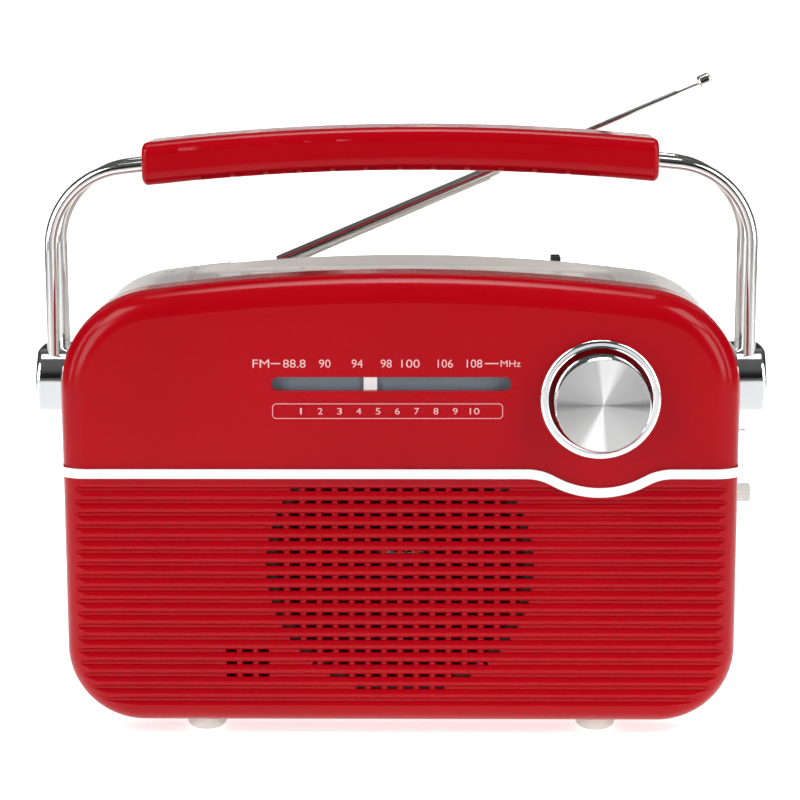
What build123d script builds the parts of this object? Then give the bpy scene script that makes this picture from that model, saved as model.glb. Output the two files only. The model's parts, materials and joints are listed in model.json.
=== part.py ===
from build123d import *
from math import asin, atan2, cos, pi, radians, sin, sqrt
import os

# Portable radio with a red front, a white back, a wire handle and a telescopic aerial.
# Frame: X to the right seen from the front, the front faces -Y, Z up.
# The origin is on the table, under the middle of the overall box.
# A "depth" below is a distance behind the front face; back(depth) turns it into Y.
os.makedirs("parts", exist_ok=True)

# ---- Driving sizes, in millimetres ----
case_width = 244.0
case_depth = 80.0
foot_height = 5.0
case_top = 170.0
crown_radius = 700.0
shoulder_radius = 36.0
lower_corner_radius = 28.0
front_edge_radius = 9.5
rear_edge_radius = 7.0
wall = 2.5
front_depth = 23.0          # depth of the red front shell
knob_proud = 14.0           # how far the knob stands out of the front face
running = 0.05              # radial clearance of a shaft in its bore
free = 0.3                  # clearance between parts that only pass each other

front_y = -(case_depth - knob_proud) / 2
side_x = case_width / 2

# Tuning knob, scale and cord
knob_x, knob_z = 71.4, 126.2
knob_radius = 17.5
ring_outer, ring_inner = 21.5, 18.3
scale_left, scale_right = -45.6, 39.8
scale_z, scale_height = 131.5, 5.0
pointer_x, pointer_width = -10.4, 4.8
drum_radius = 24.0
pulley_x, pulley_radius = -58.0, 6.0
cord_depth, cord_width = 17.0, 0.8
shaft_radius = 3.0

# Trim strip
trim_z, trim_width = 99.1, 3.5
trim_proud, trim_sunk = 1.2, 0.8
trim_dip_radius = 33.9
trim_shoulder_radius = 19.2

# Ribbed lower front and speaker
rib_pitch, rib_count, first_groove_z = 4.61, 18, 92.9
groove_depth, rib_sink = 1.3, 0.12
slot_pitch, slot_length, slot_height = 5.84, 3.85, 1.15
speaker_x, speaker_z, grille_radius = 0.0, 64.7, 48.3

# Handle
handle_depth, hub_z = 40.0, 123.7
hub_width, hub_height, hub_corner = 38.0, 32.0, 11.0
hub_inner_x, hub_outer_x = case_width / 2 + 0.9, 136.4
hub_dome_radius = 60.0
rod_x, rod_radius, rod_gap = 127.5, 2.2, 25.0
rod_bend = 29.5
grip_half_length, grip_height, grip_thickness = 93.2, 15.5, 34.0
rod_crown_z = 212.6
rod_arch_radius = 873.0
rod_arch_x = 5.8            # the arch peaks a little to the right of the middle
spigot_radius = 7.0

# Aerial
aerial_x, aerial_z, aerial_depth = -54.0, 163.5, 75.5
aerial_angle = 23.0
channel_floor_z, channel_front = 159.2, 70.0
tube_radii = [2.85, 2.2, 1.7, 1.2, 0.7]
tube_ends = [94.7, 98.5, 120.8, 172.6, 181.0]
tube_length = 86.0

# Side volume knob
volume_depth, volume_z = 34.0, 84.9
volume_radius, volume_stem = 3.5, 1.5

# Battery compartment
door_left, door_right, door_low, door_high = -92.0, 10.0, 12.0, 62.0
door_pivot_depth, door_pivot_z, door_barrel = 78.9, 13.5, 1.15
cell_radius, cell_length = 13.0, 50.0
cell_rows = [(22.9, -88.5), (51.3, -93.5)]   # height of each row and where it starts

# Back sockets
inlet_x, inlet_z = 85.0, 30.0
jack_x, jack_z = 85.0, 55.0

# Fixings: where the case screws go, seen from the front
case_screw_places = [(-104, 27), (104, 27), (-97, 147), (97, 147)]
board_post_places = [(-87, 107), (-87, 154), (30.5, 108.6), (31, 154.6)]
chassis_post_places = [(50, 154.5), (88, 101), (88, 152)]
speaker_screw_reach = 38.2


def back(depth):
    """Y of a place at a depth behind the front face."""
    return front_y + depth


def facing(depth):
    """Plane across the radio at a depth, looking out of the front."""
    return Plane.XZ.offset(-back(depth))


def case_outline(inset=0.0):
    """Outline of the case seen from the front, moved inwards by inset."""
    half = case_width / 2 - inset
    low = foot_height + inset
    crown = case_top - inset
    bow = crown_radius - inset
    shoulder = crown - bow + sqrt(bow**2 - half**2)
    with BuildSketch(mode=Mode.PRIVATE) as outline:
        with BuildLine():
            ThreePointArc((-half, shoulder), (0, crown), (half, shoulder))
            Line((half, shoulder), (half, low))
            Line((half, low), (-half, low))
            Line((-half, low), (-half, shoulder))
        make_face()
        fillet(outline.vertices().group_by(Axis.Y)[-1], shoulder_radius - inset)
        fillet(outline.vertices().group_by(Axis.Y)[0], lower_corner_radius - inset)
    return outline.sketch


def case_block(inset, near, far, near_radius=0.0, far_radius=0.0):
    """Solid of the case outline between two depths, with its rims rounded."""
    with BuildPart(mode=Mode.PRIVATE) as block:
        with BuildSketch(facing(near)):
            add(case_outline(inset))
        extrude(amount=near - far)
        if near_radius:
            fillet(block.faces().sort_by(Axis.Y)[0].edges(), near_radius)
        if far_radius:
            fillet(block.faces().sort_by(Axis.Y)[-1].edges(), far_radius)
    return block.part


def bar(x, z, radius, near, far, hole=0.0, mode=Mode.ADD):
    """Round bar or tube along the depth, in the part being built."""
    with BuildSketch(facing(near)) as section:
        with Locations((x, z)):
            Circle(radius)
            if hole:
                Circle(hole, mode=Mode.SUBTRACT)
    extrude(section.sketch, amount=near - far, mode=mode)


def bars(places, radius, near, far, hole=0.0, mode=Mode.ADD):
    """The same round bar at several places."""
    for x, z in places:
        bar(x, z, radius, near, far, hole, mode)


def slab(x_span, depth_span, z_span, corner=0.0, mode=Mode.ADD):
    """Box between two X, two depths and two heights, in the part being built."""
    width, height = x_span[1] - x_span[0], z_span[1] - z_span[0]
    with BuildSketch(facing(depth_span[0])) as section:
        with Locations(((x_span[0] + x_span[1]) / 2, (z_span[0] + z_span[1]) / 2)):
            if corner:
                RectangleRounded(width, height, corner)
            else:
                Rectangle(width, height)
    extrude(section.sketch, amount=depth_span[0] - depth_span[1], mode=mode)


def cross_bar(y, z, radius, x_from, x_to, hole=0.0, mode=Mode.ADD):
    """Round bar or tube along X, in the part being built."""
    with BuildSketch(Plane.YZ.offset(x_from)) as section:
        with Locations((y, z)):
            Circle(radius)
            if hole:
                Circle(hole, mode=Mode.SUBTRACT)
    extrude(section.sketch, amount=x_to - x_from, mode=mode)


def turned(profile, x, z, mode=Mode.ADD):
    """Turned shape about a line along the depth, from (depth, radius) pairs."""
    with BuildSketch(Plane.YZ.offset(x)) as section:
        with BuildLine():
            Polyline(*[(back(depth), z + radius) for depth, radius in profile], close=True)
        make_face()
    revolve(section.sketch, axis=Axis((x, 0, z), (0, 1, 0)), mode=mode)


def trim_path():
    """Centre line of the trim strip: level, with a dip that runs round under the knob."""
    drop = knob_z - trim_z
    reach = trim_dip_radius + trim_shoulder_radius
    spread = sqrt(reach**2 - (drop + trim_shoulder_radius) ** 2)
    turn_x = trim_dip_radius * spread / reach
    turn_z = knob_z - trim_dip_radius * (drop + trim_shoulder_radius) / reach
    end_x = case_width / 2 + 10
    left, right = (knob_x - spread, trim_z), (knob_x + spread, trim_z)
    with BuildLine(mode=Mode.PRIVATE) as path:
        Line((-end_x, trim_z), left)
        TangentArc(left, (knob_x - turn_x, turn_z), tangent=(1, 0))
        ThreePointArc(
            (knob_x - turn_x, turn_z),
            (knob_x, knob_z - trim_dip_radius),
            (knob_x + turn_x, turn_z),
        )
        TangentArc(right, (knob_x + turn_x, turn_z), tangent=(-1, 0))
        Line(right, (end_x, trim_z))
    return path.line


def trim_band(near, far):
    """Everything within the width of the trim strip, between two depths."""
    with BuildPart(mode=Mode.PRIVATE) as band:
        with BuildSketch(facing(near)):
            trace(trim_path(), line_width=trim_width)
        extrude(amount=near - far)
    return band.part


def rib_cutter():
    """Comb that leaves rounded ribs: one cusp-shaped groove for each pitch."""
    half_pitch = rib_pitch / 2
    half_floor = 0.45
    top = first_groove_z + half_pitch
    bottom = first_groove_z - (rib_count - 1) * rib_pitch - half_pitch
    with BuildPart(mode=Mode.PRIVATE) as comb:
        with BuildSketch(Plane.YZ.offset(-case_width / 2 - 2)):
            with BuildLine():
                Line((back(-3), bottom), (back(-3), top))
                Line((back(-3), top), (back(rib_sink), top))
                for i in range(rib_count):
                    z = first_groove_z - i * rib_pitch
                    upper, lower = z + half_floor, z - half_floor
                    TangentArc((back(rib_sink), z + half_pitch), (back(groove_depth), upper), tangent=(0, -1))
                    Line((back(groove_depth), upper), (back(groove_depth), lower))
                    TangentArc((back(rib_sink), z - half_pitch), (back(groove_depth), lower), tangent=(0, 1))
                Line((back(rib_sink), bottom), (back(-3), bottom))
            make_face()
        extrude(amount=case_width + 4)
        with BuildSketch(facing(-4)):
            with BuildLine():
                add(trim_path())
                corner = case_width / 2 + 10
                Polyline((corner, trim_z), (corner, 0), (-corner, 0), (-corner, trim_z))
            make_face()
        extrude(amount=-8, mode=Mode.INTERSECT)
    return comb.part


def grille_dashes():
    """Speaker slots: dashes on the groove lines, trimmed to a circle, as (x, z, length)."""
    dashes = []
    for i in range(rib_count):
        z = first_groove_z - i * rib_pitch
        rise = abs(z - speaker_z)
        if rise > grille_radius - 2:
            continue
        reach = sqrt(grille_radius**2 - rise**2)
        centres = [(k + 0.5) * slot_pitch for k in range(9)]
        row = [[c - slot_length / 2, min(c + slot_length / 2, reach)] for c in centres]
        row = [dash for dash in row if dash[1] - dash[0] > 1.6]
        if reach - row[-1][1] < slot_pitch - slot_length + 1.6:
            row[-1][1] = reach
        for inner, outer in row:
            for side in (-1, 1):
                dashes.append((side * (inner + outer) / 2, z, outer - inner))
    return dashes


def microphone_dashes():
    """Small cluster of nine slots at the lower left of the front."""
    return [
        (-(k + 0.5) * slot_pitch, first_groove_z - row * rib_pitch, slot_length)
        for k in (8, 9, 10)
        for row in (13, 14, 15)
    ]


# ---- Front shell: the red front with its ribs, slots and screw posts ----
with BuildPart() as front_shell:
    add(case_block(0, 0, front_depth, near_radius=front_edge_radius))
    add(
        case_block(wall, wall, front_depth + 1, near_radius=front_edge_radius - wall),
        mode=Mode.SUBTRACT,
    )
    # Posts for the case screws, the board, the chassis plate, the speaker and the scale
    bars(case_screw_places, 4.0, wall - 0.5, 38)
    bars(board_post_places, 3.0, wall - 0.5, 30)
    bars(chassis_post_places, 3.0, wall - 0.5, 21)
    speaker_screw_places = [
        (speaker_x + i * speaker_screw_reach, speaker_z + j * speaker_screw_reach)
        for i in (-1, 1)
        for j in (-1, 1)
    ]
    bars(speaker_screw_places, 3.5, wall - 0.5, 4.2)
    scale_post_places = [(-53, scale_z), (47, scale_z)]
    bars(scale_post_places, 3.0, wall - 0.5, 5.0)
    bar(pulley_x, knob_z + drum_radius - pulley_radius, 3.0, wall - 0.5, 14.0)
    for x in (-50.5, 44.5):
        slab((x - 1.5, x + 1.5), (wall - 0.5, 12), (138, 147))
    # Pilot holes
    bars(case_screw_places, 1.5, 26, 38.5, mode=Mode.SUBTRACT)
    bars(board_post_places, 1.1, 22, 30.5, mode=Mode.SUBTRACT)
    bars(chassis_post_places, 1.1, 13, 21.5, mode=Mode.SUBTRACT)
    bars(speaker_screw_places, 1.1, 0.9, 4.5, mode=Mode.SUBTRACT)
    bars(scale_post_places, 1.1, 1.2, 5.5, mode=Mode.SUBTRACT)
    bar(pulley_x, knob_z + drum_radius - pulley_radius, 1.5, 8, 14.5, mode=Mode.SUBTRACT)
    # Bore for the pointer rail through its two brackets
    with BuildSketch(Plane.YZ.offset(-60)):
        with Locations((back(9.5), 143)):
            Circle(1.25)
    extrude(amount=120, mode=Mode.SUBTRACT)
    # Scale window, knob shaft hole and the seat of the trim strip
    slab(
        (scale_left, scale_right), (-1, wall + 1),
        (scale_z - scale_height / 2, scale_z + scale_height / 2),
        corner=scale_height / 2 - 0.01, mode=Mode.SUBTRACT,
    )
    bar(knob_x, knob_z, 4.5, -1, wall + 1, mode=Mode.SUBTRACT)
    add(rib_cutter(), mode=Mode.SUBTRACT)
    seat = case_block(-1, -1, front_depth + 1, near_radius=front_edge_radius + 1)
    seat -= case_block(trim_sunk, trim_sunk, front_depth + 2, near_radius=front_edge_radius - trim_sunk)
    add(seat & trim_band(-2, front_depth + 1), mode=Mode.SUBTRACT)
    # Speaker slots and the small cluster
    with BuildSketch(facing(groove_depth - 0.2)):
        for x, z, length in grille_dashes() + microphone_dashes():
            with Locations((x, z)):
                Rectangle(length, slot_height)
    extrude(amount=-wall, mode=Mode.SUBTRACT)
front_shell.part.label = "front_shell"
export_step(front_shell.part, "parts/front_shell.step")

# ---- Trim strip: chrome band let into the front and wrapped round both sides ----
with BuildPart() as trim_strip:
    add(case_block(-trim_proud, -trim_proud, front_depth, near_radius=front_edge_radius + trim_proud))
    add(
        case_block(trim_sunk, trim_sunk, front_depth + 1, near_radius=front_edge_radius - trim_sunk),
        mode=Mode.SUBTRACT,
    )
    add(trim_band(-3, front_depth + 1), mode=Mode.INTERSECT)
trim_strip.part.label = "trim_strip"
export_step(trim_strip.part, "parts/trim_strip.step")

# ---- Rear shell: white back with the top recess, the aerial channel and the battery opening ----
recess_half, recess_front, recess_rear = 79.0, 24.5, 68.0
recess_floor_z, recess_radius = 166.2, 1800.0
aerial_y = back(aerial_depth)


def above_floor(drop, near, far, thickness=40.0):
    """Everything above the bowed floor of the top recess, lowered by drop."""
    with BuildPart(mode=Mode.PRIVATE) as zone:
        with BuildSketch(facing(near)):
            centre = recess_floor_z - drop - recess_radius
            with Locations((0, centre)):
                Circle(recess_radius + thickness)
                Circle(recess_radius, mode=Mode.SUBTRACT)
            with Locations((0, recess_floor_z)):
                Rectangle(2 * recess_half + 2 * wall, 80, mode=Mode.INTERSECT)
        extrude(amount=near - far)
    return zone.part


with BuildPart() as rear_shell:
    add(case_block(0, front_depth, case_depth, far_radius=rear_edge_radius))
    add(
        case_block(wall, front_depth - 1, case_depth - wall, far_radius=rear_edge_radius - wall),
        mode=Mode.SUBTRACT,
    )
    # Tongue that fits inside the front shell
    tongue = case_block(wall - 0.1, front_depth, 26) + case_block(wall + 0.2, 20, 24)
    add(tongue - case_block(wall + 1.7, 19, 27))
    # Floor of the top recess
    add(above_floor(wall, front_depth, 70, thickness=wall) & case_block(wall - 0.1, front_depth, 70))
    # Trough of the aerial channel and the block its base screws into
    with BuildPart(mode=Mode.PRIVATE) as trough:
        slab((-68.5, 125), (67.5, case_depth), (channel_floor_z - wall, 175))
        slab((aerial_x - 8, aerial_x + 8), (60, 68), (155, 175))
        add(case_block(wall - 0.1, 55, case_depth - wall + 0.1, far_radius=4.6), mode=Mode.INTERSECT)
    add(trough.part)
    # Screw columns and posts of the transformer
    bars(case_screw_places, 4.5, 38.05, case_depth - wall + 0.2)
    bars([(19.5, 30), (70.5, 30)], 2.0, 72.0, case_depth - wall + 0.2)
    # Cuts: recess, its pockets, channel
    with BuildPart(mode=Mode.PRIVATE) as recess:
        slab((-recess_half, recess_half), (recess_front, recess_rear), (140, 180))
        add(above_floor(0, recess_front - 1, recess_rear + 1), mode=Mode.INTERSECT)
    add(recess.part, mode=Mode.SUBTRACT)
    with BuildPart(mode=Mode.PRIVATE) as pockets:
        for i in range(12):
            middle = (i - 5.5) * 11.7
            slab((middle - 4.75, middle + 4.75), (40, 53), (140, 180))
        add(above_floor(1.2, 39, 54), mode=Mode.INTERSECT)
    add(pockets.part, mode=Mode.SUBTRACT)
    slab((-66, 130), (channel_front, case_depth + 1), (channel_floor_z, 180), mode=Mode.SUBTRACT)
    bar(aerial_x, aerial_z, 1.0, 61.5, 70.5, mode=Mode.SUBTRACT)
    # Screw holes
    bars(case_screw_places, 1.65, 37, 42, mode=Mode.SUBTRACT)
    bars(case_screw_places, 3.2, 41, case_depth + 1, mode=Mode.SUBTRACT)
    bars([(19.5, 30), (70.5, 30)], 0.9, 71, 78, mode=Mode.SUBTRACT)
    # Handle bearings and the hole of the volume stem
    hub_y = back(handle_depth)
    cross_bar(hub_y, hub_z, spigot_radius + running, -side_x - 3, side_x + 3, mode=Mode.SUBTRACT)
    cross_bar(back(volume_depth), volume_z, volume_stem + running, 112, side_x + 1, mode=Mode.SUBTRACT)
    # Battery opening with the pin holes of its door, sockets and vents in the back
    slab((door_left, door_right), (76, 81), (door_low, door_high), mode=Mode.SUBTRACT)
    cross_bar(
        back(door_pivot_depth), door_pivot_z, 0.8 + running,
        door_left - 2, door_right + 2, mode=Mode.SUBTRACT,
    )
    slab((inlet_x - 9, inlet_x + 9), (76, 81), (inlet_z - 6, inlet_z + 6), corner=2, mode=Mode.SUBTRACT)
    bar(jack_x, jack_z, 4.5, 76, 81, mode=Mode.SUBTRACT)
    for i in range(8):
        z = 84 + 5.5 * i
        slab((-50, 50), (76, 81), (z - 1, z + 1), corner=0.99, mode=Mode.SUBTRACT)
rear_shell.part.label = "rear_shell"
export_step(rear_shell.part, "parts/rear_shell.step")

# ---- Case screws: four, from the back, into the posts of the front shell ----
with BuildPart() as case_screws:
    bars(case_screw_places, 2.8, 41, 43.2)
    bars(case_screw_places, 1.45, 28, 41.1)
    for x, z in case_screw_places:
        slab((x - 2, x + 2), (42.4, 43.5), (z - 0.4, z + 0.4), mode=Mode.SUBTRACT)
case_screws.part.label = "case_screws"
export_step(case_screws.part, "parts/case_screws.step")

# ---- Four feet ----
for name, x, depth in [
    ("foot_front_left", -72, 16.0), ("foot_front_right", 72, 16.0),
    ("foot_rear_left", -72, 64.0), ("foot_rear_right", 72, 64.0),
]:
    with BuildPart() as foot:
        with BuildSketch(Plane.XY):
            with Locations((x, back(depth))):
                Circle(7.3)
        extrude(amount=foot_height)
        fillet(foot.edges().filter_by(GeomType.CIRCLE).group_by(Axis.Z)[0], 3.0)
    foot.part.label = name
    export_step(foot.part, f"parts/{name}.step")

# ---- Knob ring: chrome bezel round the tuning knob ----
with BuildPart() as knob_ring:
    bar(knob_x, knob_z, ring_outer, -2.6, 0, hole=ring_inner)
    fillet(knob_ring.faces().sort_by(Axis.Y)[0].edges(), 1.1)
knob_ring.part.label = "knob_ring"
export_step(knob_ring.part, "parts/knob_ring.step")

# ---- Tuning knob: hollow cup with a hub on the shaft ----
with BuildPart() as tuning_knob:
    turned(
        [
            (-knob_proud + 0.5, knob_radius - 0.6), (-knob_proud, knob_radius - 1.0),
            (-knob_proud, 16.35), (-knob_proud + 0.9, 16.35), (-knob_proud + 0.9, shaft_radius),
            (-2.0, shaft_radius), (-2.0, 6.0), (-11.0, 6.0), (-11.0, 15.2), (-1.0, 15.2),
            (-1.0, knob_radius),
        ],
        knob_x, knob_z,
    )
tuning_knob.part.label = "tuning_knob"
export_step(tuning_knob.part, "parts/tuning_knob.step")

# ---- Knob cap: spun metal disc in the face of the knob ----
with BuildPart() as knob_cap:
    bar(knob_x, knob_z, 16.3, -knob_proud + 0.1, -knob_proud + 0.9)
knob_cap.part.label = "knob_cap"
export_step(knob_cap.part, "parts/knob_cap.step")

# ---- Tuning shaft ----
with BuildPart() as tuning_shaft:
    bar(knob_x, knob_z, shaft_radius, -knob_proud + 0.9, 28)
tuning_shaft.part.label = "tuning_shaft"
export_step(tuning_shaft.part, "parts/tuning_shaft.step")

# ---- Shaft bushing in the chassis plate ----
with BuildPart() as shaft_bushing:
    bar(knob_x, knob_z, 5.5, 19.9, 21, hole=shaft_radius + running)
    bar(knob_x, knob_z, 4.5, 20.5, 22.2, hole=shaft_radius + running)
shaft_bushing.part.label = "shaft_bushing"
export_step(shaft_bushing.part, "parts/shaft_bushing.step")

# ---- Cord drum on the tuning shaft ----
with BuildPart() as cord_drum:
    turned(
        [
            (12.5, shaft_radius), (12.5, 6.0), (14.8, 6.0), (14.8, drum_radius + 1.5),
            (15.8, drum_radius + 1.5), (16.2, drum_radius - 0.7), (17.8, drum_radius - 0.7),
            (18.2, drum_radius + 1.5), (19.2, drum_radius + 1.5), (19.2, shaft_radius),
        ],
        knob_x, knob_z,
    )
    for i in range(4):
        with BuildSketch(facing(14)):
            with Locations((knob_x, knob_z)):
                with PolarLocations(14.5, 4, start_angle=45):
                    Circle(4.5)
    extrude(amount=-6, mode=Mode.SUBTRACT)
cord_drum.part.label = "cord_drum"
export_step(cord_drum.part, "parts/cord_drum.step")

# ---- Idler pulley and its pin at the far end of the scale ----
pulley_z = knob_z + drum_radius - pulley_radius
with BuildPart() as idler_pulley:
    turned(
        [
            (15.0, 1.5 + running), (15.0, pulley_radius + 1.2), (15.8, pulley_radius + 1.2),
            (16.2, pulley_radius - 0.7), (17.8, pulley_radius - 0.7), (18.2, pulley_radius + 1.2),
            (19.0, pulley_radius + 1.2), (19.0, 1.5 + running),
        ],
        pulley_x, pulley_z,
    )
idler_pulley.part.label = "idler_pulley"
export_step(idler_pulley.part, "parts/idler_pulley.step")

with BuildPart() as pulley_pin:
    bar(pulley_x, pulley_z, 1.5, 8, 19.4)
    bar(pulley_x, pulley_z, 2.6, 19.4, 20.4)
pulley_pin.part.label = "pulley_pin"
export_step(pulley_pin.part, "parts/pulley_pin.step")

# ---- Dial cord: loop round the drum and the pulley, level along the top ----
span = knob_x - pulley_x
lean = asin((drum_radius - pulley_radius) / sqrt(span**2 + (drum_radius - pulley_radius) ** 2))
turn = -pi / 2 - 2 * lean
with BuildPart() as dial_cord:
    with BuildSketch(facing(cord_depth - cord_width / 2)):
        with BuildLine():
            low_x, low_z = cos(turn), sin(turn)
            mid_drum, mid_pulley = -lean, pi - lean
            top = knob_z + drum_radius
            drum_low = (knob_x + drum_radius * low_x, knob_z + drum_radius * low_z)
            pulley_low = (pulley_x + pulley_radius * low_x, pulley_z + pulley_radius * low_z)
            Line((pulley_x, top), (knob_x, top))
            ThreePointArc(
                (knob_x, top),
                (knob_x + drum_radius * cos(mid_drum), knob_z + drum_radius * sin(mid_drum)),
                drum_low,
            )
            Line(drum_low, pulley_low)
            ThreePointArc(
                pulley_low,
                (pulley_x + pulley_radius * cos(mid_pulley), pulley_z + pulley_radius * sin(mid_pulley)),
                (pulley_x, top),
            )
        trace(line_width=cord_width)
    extrude(amount=-cord_width)
dial_cord.part.label = "dial_cord"
export_step(dial_cord.part, "parts/dial_cord.step")

# ---- Scale plate behind the window ----
with BuildPart() as dial_plate:
    slab((-56, 50), (5, 6), (126, 137))
dial_plate.part.label = "dial_plate"
export_step(dial_plate.part, "parts/dial_plate.step")

# ---- Pointer: blade in the window, arm over the scale plate, carriage on the rail ----
rail_depth, rail_z, rail_radius = 9.5, 143.0, 1.25
with BuildPart() as dial_pointer:
    half = pointer_width / 2
    slab((pointer_x - half, pointer_x + half), (3.0, 4.4), (128, 139.5))
    slab((pointer_x - half, pointer_x + half), (3.0, 9.2), (137.8, 139.5))
    slab((pointer_x - 4, pointer_x + 4), (7, 12), (139, 147))
    slab((pointer_x - 3, pointer_x + 3), (7, 18), (146, 149.2))
    cross_bar(
        back(rail_depth), rail_z, rail_radius + running,
        pointer_x - 6, pointer_x + 6, mode=Mode.SUBTRACT,
    )
dial_pointer.part.label = "dial_pointer"
export_step(dial_pointer.part, "parts/dial_pointer.step")

with BuildPart() as pointer_rail:
    cross_bar(back(rail_depth), rail_z, rail_radius, -52, 46)
pointer_rail.part.label = "pointer_rail"
export_step(pointer_rail.part, "parts/pointer_rail.step")

# ---- Chassis plate, its screws and the tuning capacitor ----
with BuildPart() as chassis_plate:
    slab((44, 92), (21, 22.2), (97.5, 158), corner=3)
    bar(knob_x, knob_z, 4.5, 20, 23, mode=Mode.SUBTRACT)
    bars(chassis_post_places, 1.3, 20, 23, mode=Mode.SUBTRACT)
chassis_plate.part.label = "chassis_plate"
export_step(chassis_plate.part, "parts/chassis_plate.step")

with BuildPart() as chassis_screws:
    bars(chassis_post_places, 2.4, 22.2, 23.9)
    bars(chassis_post_places, 1.05, 14, 22.3)
chassis_screws.part.label = "chassis_screws"
export_step(chassis_screws.part, "parts/chassis_screws.step")

with BuildPart() as tuning_capacitor:
    slab((knob_x - 15, knob_x + 15), (22.2, 46), (knob_z - 15, knob_z + 15), corner=2)
    bar(knob_x, knob_z, shaft_radius + free, 22, 29, mode=Mode.SUBTRACT)
tuning_capacitor.part.label = "tuning_capacitor"
export_step(tuning_capacitor.part, "parts/tuning_capacitor.step")

# ---- Loudspeaker ----
with BuildPart() as speaker_frame:
    turned(
        [
            (3.0, 45.6), (3.0, 49.5), (4.6, 49.5), (4.6, 46.4), (22.4, 25.2),
            (23.2, 25.2), (23.2, 10.3), (22.0, 10.3), (22.0, 23.9),
        ],
        speaker_x, speaker_z,
    )
    bars(speaker_screw_places, 6.0, 4.2, 5.4)
    bars(speaker_screw_places, 1.3, 3, 6, mode=Mode.SUBTRACT)
    # Four windows in the basket
    with BuildSketch(facing(10)):
        with Locations((speaker_x, speaker_z)):
            with PolarLocations(33, 4):
                RectangleRounded(22, 26, 4)
    extrude(amount=-11, mode=Mode.SUBTRACT)
speaker_frame.part.label = "speaker_frame"
export_step(speaker_frame.part, "parts/speaker_frame.step")

with BuildPart() as speaker_cone:
    turned([(3.2, 45.3), (3.9, 44.4), (19.6, 10.0), (19.6, 9.6), (19.0, 9.6)], speaker_x, speaker_z)
speaker_cone.part.label = "speaker_cone"
export_step(speaker_cone.part, "parts/speaker_cone.step")

with BuildPart() as speaker_dust_cap:
    with Locations((speaker_x, back(28.6), speaker_z)):
        Sphere(14.2)
        Sphere(13.6, mode=Mode.SUBTRACT)
    bar(speaker_x, speaker_z, 9.9, 13, 18.6, mode=Mode.INTERSECT)
speaker_dust_cap.part.label = "speaker_dust_cap"
export_step(speaker_dust_cap.part, "parts/speaker_dust_cap.step")

with BuildPart() as speaker_magnet:
    bar(speaker_x, speaker_z, 25, 23.2, 33, hole=10.3)
    bar(speaker_x, speaker_z, 25, 33, 35.5)
    bar(speaker_x, speaker_z, 8.6, 23.5, 33.5)
speaker_magnet.part.label = "speaker_magnet"
export_step(speaker_magnet.part, "parts/speaker_magnet.step")

with BuildPart() as speaker_screws:
    bars(speaker_screw_places, 2.4, 5.4, 7.0)
    bars(speaker_screw_places, 1.05, 1.2, 5.5)
speaker_screws.part.label = "speaker_screws"
export_step(speaker_screws.part, "parts/speaker_screws.step")

# ---- Circuit board, its parts and its screws ----
with BuildPart() as circuit_board:
    slab((-91.5, 36), (30, 31.6), (102.5, 159))
    bars(board_post_places, 1.3, 29, 33, mode=Mode.SUBTRACT)
circuit_board.part.label = "circuit_board"
export_step(circuit_board.part, "parts/circuit_board.step")

with BuildPart() as board_components:
    for x, z in [(-70, 140), (-54, 140), (-38, 140)]:
        slab((x - 5, x + 5), (31.6, 43), (z - 5, z + 5))
    for x, z, r, length in [(-70, 116, 5, 20), (-54, 114, 4, 14), (-40, 114, 4, 14), (14, 120, 6.5, 25)]:
        bar(x, z, r, 31.6, 31.6 + length)
    slab((-16, 2), (31.6, 45), (128, 144))
    for i in range(5):
        slab((-24 + 9 * i, -18 + 9 * i), (31.6, 34), (108, 110.4))
board_components.part.label = "board_components"
export_step(board_components.part, "parts/board_components.step")

with BuildPart() as board_screws:
    bars(board_post_places, 2.4, 31.6, 33.2)
    bars(board_post_places, 1.05, 24, 31.7)
board_screws.part.label = "board_screws"
export_step(board_screws.part, "parts/board_screws.step")

# ---- Mains transformer on the back ----
with BuildPart() as power_transformer:
    slab((24, 66), (50, 70), (12, 48))
    slab((31, 59), (43, 71), (18, 42), corner=3)
    slab((17.5, 72.5), (70, 72), (22, 38), corner=3)
    bars([(19.5, 30), (70.5, 30)], 0.9, 69, 73, mode=Mode.SUBTRACT)
power_transformer.part.label = "power_transformer"
export_step(power_transformer.part, "parts/power_transformer.step")

# ---- Mains inlet with two pins, and the earphone socket ----
with BuildPart() as mains_inlet:
    slab((inlet_x - 9, inlet_x + 9), (66, 79.6), (inlet_z - 6, inlet_z + 6), corner=2)
    slab(
        (inlet_x - 8.2, inlet_x + 8.2), (69.5, 81), (inlet_z - 4.2, inlet_z + 4.2),
        corner=4, mode=Mode.SUBTRACT,
    )
    bars([(inlet_x - 4.3, inlet_z), (inlet_x + 4.3, inlet_z)], 1.0, 65, 70, mode=Mode.SUBTRACT)
mains_inlet.part.label = "mains_inlet"
export_step(mains_inlet.part, "parts/mains_inlet.step")

with BuildPart() as inlet_pins:
    bars([(inlet_x - 4.3, inlet_z), (inlet_x + 4.3, inlet_z)], 1.0, 62, 69.7)
    bars([(inlet_x - 4.3, inlet_z), (inlet_x + 4.3, inlet_z)], 1.2, 69.7, 77.5)
inlet_pins.part.label = "inlet_pins"
export_step(inlet_pins.part, "parts/inlet_pins.step")

with BuildPart() as headphone_jack:
    bar(jack_x, jack_z, 4.5, 64, 79.8)
    bar(jack_x, jack_z, 1.8, 65.5, 81, mode=Mode.SUBTRACT)
headphone_jack.part.label = "headphone_jack"
export_step(headphone_jack.part, "parts/headphone_jack.step")

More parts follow.
